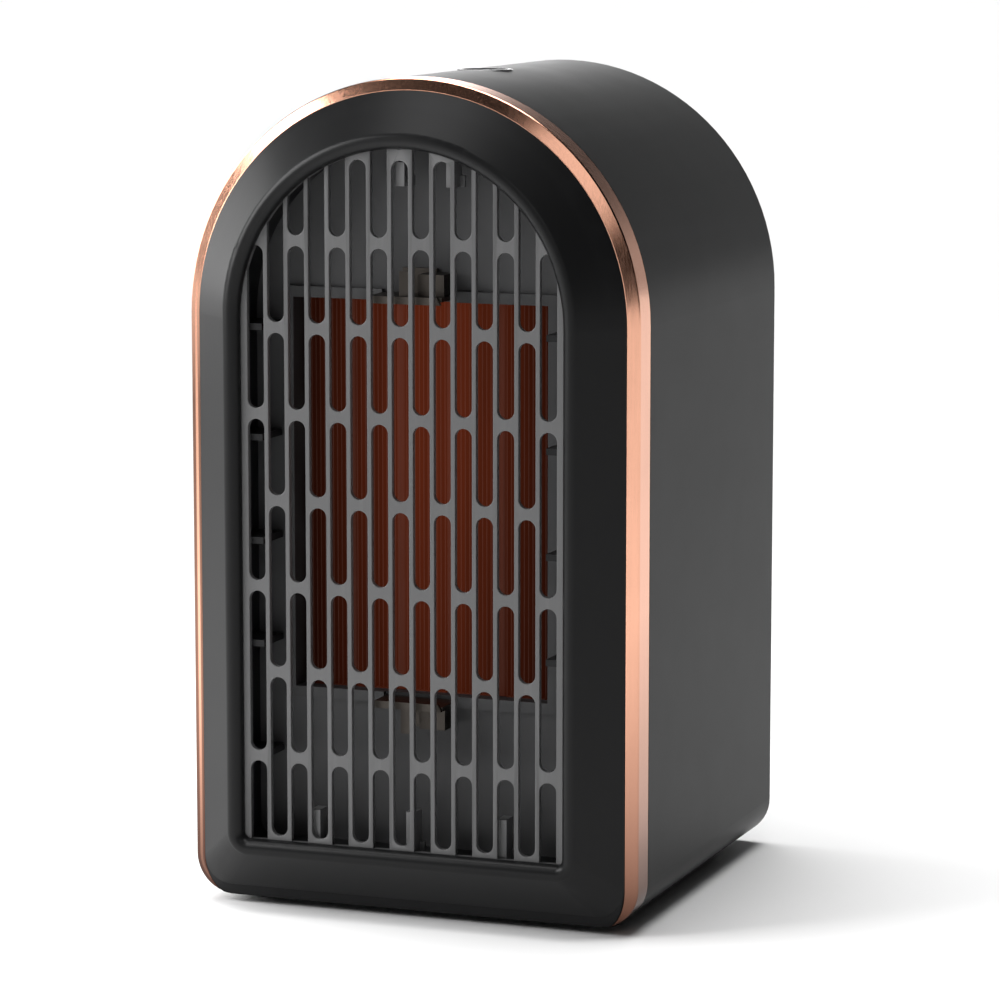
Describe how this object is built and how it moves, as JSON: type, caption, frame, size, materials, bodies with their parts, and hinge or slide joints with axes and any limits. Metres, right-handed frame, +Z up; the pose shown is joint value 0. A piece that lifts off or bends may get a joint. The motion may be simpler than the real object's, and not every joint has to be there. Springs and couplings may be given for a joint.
{
  "type": "ceramic space heater",
  "caption": "Arched desktop ceramic fan heater with a slotted outlet grille, a bright trim strip, a rear intake and one round push button on top.",
  "frame": {"origin": "middle of the footprint, on the surface it stands on", "axes": "+Z up, -Y out of the outlet grille, +X to the right seen from the front"},
  "size_m": [0.13, 0.134, 0.23],
  "materials": {
    "black_abs": "fine satin moulded ABS",
    "bezel_black": "satin moulded ABS",
    "rose_gold": "satin rose-gold plated strip",
    "grille_grey": "satin dark grey moulded grille",
    "rubber": "moulded rubber",
    "zinc_screw": "zinc plated steel",
    "mica": "heat-resistant moulded frame",
    "aluminium": "bare aluminium foil and tube",
    "ceramic": "fired PTC ceramic",
    "insulator": "heat-resistant insulator",
    "steel": "bent spring steel",
    "fan_black": "moulded nylon",
    "motor_steel": "zinc plated drawn steel",
    "bronze": "sintered bronze",
    "copper_winding": "enamelled copper winding",
    "board_green": "solder-masked board",
    "switch_black": "moulded switch body",
    "button_black": "polished moulded cap",
    "ring_black": "polished moulded ring",
    "wire_white": "silicone insulated lead",
    "wire_red": "insulated lead",
    "connector_white": "moulded connector",
    "relay_black": "moulded relay case"
  },
  "bodies": {
    "housing": {"body_shell": "black_abs", "trim_strip": "rose_gold", "front_bezel": "bezel_black", "front_grille": "grille_grey", "rear_cover": "black_abs", "rear_screws": "zinc_screw", "cord_gland": "rubber", "dust_screen": "fan_black", "base_plate": "black_abs", "base_screws": "zinc_screw", "rubber_feet": "rubber", "tip_switch": "switch_black", "heater_frame": "mica", "frame_screws": "zinc_screw", "fin_packs": "aluminium", "heating_tubes": "aluminium", "ceramic_stones": "ceramic", "element_cap_top": "insulator", "element_cap_bottom": "insulator", "element_terminals": "steel", "element_clips": "steel", "thermal_cutoff": "steel", "thermal_fuse": "aluminium", "fan_shroud": "fan_black", "shroud_screws": "zinc_screw", "motor_mount": "motor_steel", "mount_screws": "zinc_screw", "motor_screws": "zinc_screw", "motor_can": "motor_steel", "motor_end_plate": "motor_steel", "motor_bearings": "bronze", "motor_stator": "copper_winding", "control_board": "board_green", "board_screws": "zinc_screw", "tact_switch": "switch_black", "button_ring": "ring_black", "power_relay": "relay_black", "capacitor": "aluminium", "board_connectors": "connector_white", "heater_wires": "wire_white", "motor_wires": "wire_red"},
    "rotor": {"fan_impeller": "fan_black", "motor_shaft": "steel", "motor_rotor": "motor_steel"},
    "button": {"button_cap": "button_black", "tact_plunger": "switch_black"},
    "tip_plunger": {"tip_plunger": "switch_black"}
  },
  "joints": [
    {"name": "fan_spin", "type": "hinge", "parent": "housing", "child": "rotor", "pos_m": [0, 0, 0.11565], "axis": [0, 1, 0], "continuous": true},
    {"name": "button_press", "type": "slide", "parent": "housing", "child": "button", "axis": [0, 0, -1], "range_m": [0, 0.0008], "stiffness_N_per_m": 2500, "springref_m": -0.0004},
    {"name": "tip_slide", "type": "slide", "parent": "housing", "child": "tip_plunger", "axis": [0, 0, -1], "range_m": [0, 0.003], "stiffness_N_per_m": 60, "springref_m": 0.004}
  ]
}
